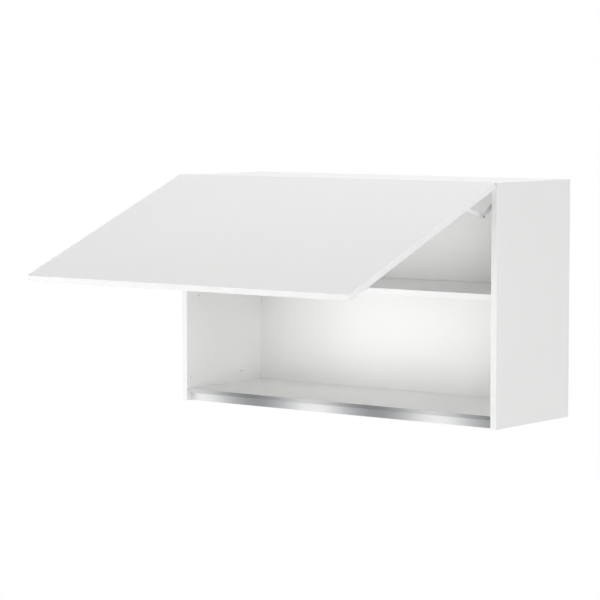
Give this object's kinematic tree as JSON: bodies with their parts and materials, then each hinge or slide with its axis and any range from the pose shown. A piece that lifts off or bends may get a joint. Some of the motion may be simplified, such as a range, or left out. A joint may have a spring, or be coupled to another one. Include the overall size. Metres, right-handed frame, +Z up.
{
  "type": "lift up wall cabinet",
  "caption": "Wide kitchen wall cabinet with one full-width flap that lifts up, a shelf inside and a recessed metal grip profile under the bottom panel.",
  "frame": {"origin": "middle of the carcase's top rear edge, on the wall plane", "axes": "+X to the right seen from the front, front towards -Y, +Y into the wall, +Z up"},
  "size_m": [1, 0.9221, 0.602],
  "materials": {
    "carcase_board": "white melamine-faced board",
    "edge_band": "white edge band, satin",
    "flap_front": "white lacquered board, satin",
    "aluminium_profile": "brushed, clear anodised",
    "dowel_wood": "beech, fluted",
    "light_plastic": "light grey, fine grain",
    "soft_buffer": "clear soft polyurethane",
    "painted_steel": "light grey powder coat",
    "dark_steel": "hardened steel, oiled",
    "zinc_steel": "bright zinc plated"
  },
  "bodies": {
    "carcase": {"side_panel_left": "carcase_board", "side_panel_right": "carcase_board", "top_panel": "carcase_board", "bottom_panel": "carcase_board", "back_panel": "carcase_board", "side_edge_band_left": "edge_band", "side_edge_band_right": "edge_band", "top_edge_band": "edge_band", "grip_profile": "aluminium_profile", "grip_profile_screws": "zinc_steel", "carcase_dowels": "dowel_wood", "carcase_euro_screws": "zinc_steel", "shelf_pins": "zinc_steel", "hanger_adjusting_screws": "zinc_steel", "hanger_screws": "zinc_steel", "hinge_left_arm": "zinc_steel", "hinge_left_plate": "zinc_steel", "stay_left_base": "zinc_steel", "stay_left_cover": "light_plastic", "stay_left_springs": "dark_steel", "stay_left_spring_seat": "zinc_steel", "stay_left_adjuster": "zinc_steel", "hanger_left_body": "light_plastic", "hinge_right_arm": "zinc_steel", "hinge_right_plate": "zinc_steel", "stay_right_base": "zinc_steel", "stay_right_cover": "light_plastic", "stay_right_springs": "dark_steel", "stay_right_spring_seat": "zinc_steel", "stay_right_adjuster": "zinc_steel", "hanger_right_body": "light_plastic"},
    "flap": {"flap_panel": "flap_front", "flap_buffers": "soft_buffer", "flap_screws": "zinc_steel", "hinge_pins": "dark_steel", "bracket_pins": "dark_steel", "hinge_left_cup": "zinc_steel", "hinge_right_cup": "zinc_steel", "stay_left_bracket": "zinc_steel", "stay_right_bracket": "zinc_steel"},
    "shelf": {"shelf_panel": "carcase_board", "shelf_edge_band": "edge_band"},
    "left_lever": {"stay_left_cam": "dark_steel", "stay_left_lever": "painted_steel", "stay_left_lever_pin": "dark_steel"},
    "left_link": {"stay_left_link": "painted_steel"},
    "left_carriage": {"stay_left_slider": "zinc_steel", "stay_left_roller": "dark_steel"},
    "left_hook": {"hanger_left_hook": "dark_steel"},
    "right_lever": {"stay_right_cam": "dark_steel", "stay_right_lever": "painted_steel", "stay_right_lever_pin": "dark_steel"},
    "right_link": {"stay_right_link": "painted_steel"},
    "right_carriage": {"stay_right_slider": "zinc_steel", "stay_right_roller": "dark_steel"},
    "right_hook": {"hanger_right_hook": "dark_steel"}
  },
  "joints": [
    {"name": "flap_lift", "type": "hinge", "parent": "carcase", "child": "flap", "pos_m": [0, -0.3415, -0.008], "axis": [-1, 0, 0], "range_deg": [-68, 22]},
    {"name": "shelf_lift", "type": "slide", "parent": "carcase", "child": "shelf", "axis": [0, 0, 1], "range_m": [0, 0.05]},
    {"name": "left_lever_turn", "type": "hinge", "parent": "carcase", "child": "left_lever", "pos_m": [-0.4575, -0.2575, -0.034], "axis": [-1, 0, 0], "range_deg": [-68, 22]},
    {"name": "left_link_turn", "type": "hinge", "parent": "left_lever", "child": "left_link", "pos_m": [-0.4525, -0.32957, -0.08253], "axis": [-1, 0, 0], "range_deg": [-22, 68]},
    {"name": "left_carriage_slide", "type": "slide", "parent": "carcase", "child": "left_carriage", "axis": [0, 0, 1], "range_m": [-0.01662, 0.00538], "deforming": ["stay_left_springs"]},
    {"name": "left_hook_height", "type": "slide", "parent": "carcase", "child": "left_hook", "axis": [0, 0, 1], "range_m": [-0.005, 0.005]},
    {"name": "right_lever_turn", "type": "hinge", "parent": "carcase", "child": "right_lever", "pos_m": [0.4575, -0.2575, -0.034], "axis": [-1, 0, 0], "range_deg": [-68, 22]},
    {"name": "right_link_turn", "type": "hinge", "parent": "right_lever", "child": "right_link", "pos_m": [0.4525, -0.32957, -0.08253], "axis": [-1, 0, 0], "range_deg": [-22, 68]},
    {"name": "right_carriage_slide", "type": "slide", "parent": "carcase", "child": "right_carriage", "axis": [0, 0, 1], "range_m": [-0.01662, 0.00538], "deforming": ["stay_right_springs"]},
    {"name": "right_hook_height", "type": "slide", "parent": "carcase", "child": "right_hook", "axis": [0, 0, 1], "range_m": [-0.005, 0.005]}
  ],
  "couplings": [
    {"joint": "left_lever_turn", "follows": "flap_lift", "ratio": 1},
    {"joint": "left_link_turn", "follows": "flap_lift", "ratio": -1},
    {"joint": "left_carriage_slide", "follows": "flap_lift", "m_per_rad": 0.014006},
    {"joint": "right_lever_turn", "follows": "flap_lift", "ratio": 1},
    {"joint": "right_link_turn", "follows": "flap_lift", "ratio": -1},
    {"joint": "right_carriage_slide", "follows": "flap_lift", "m_per_rad": 0.014006}
  ]
}
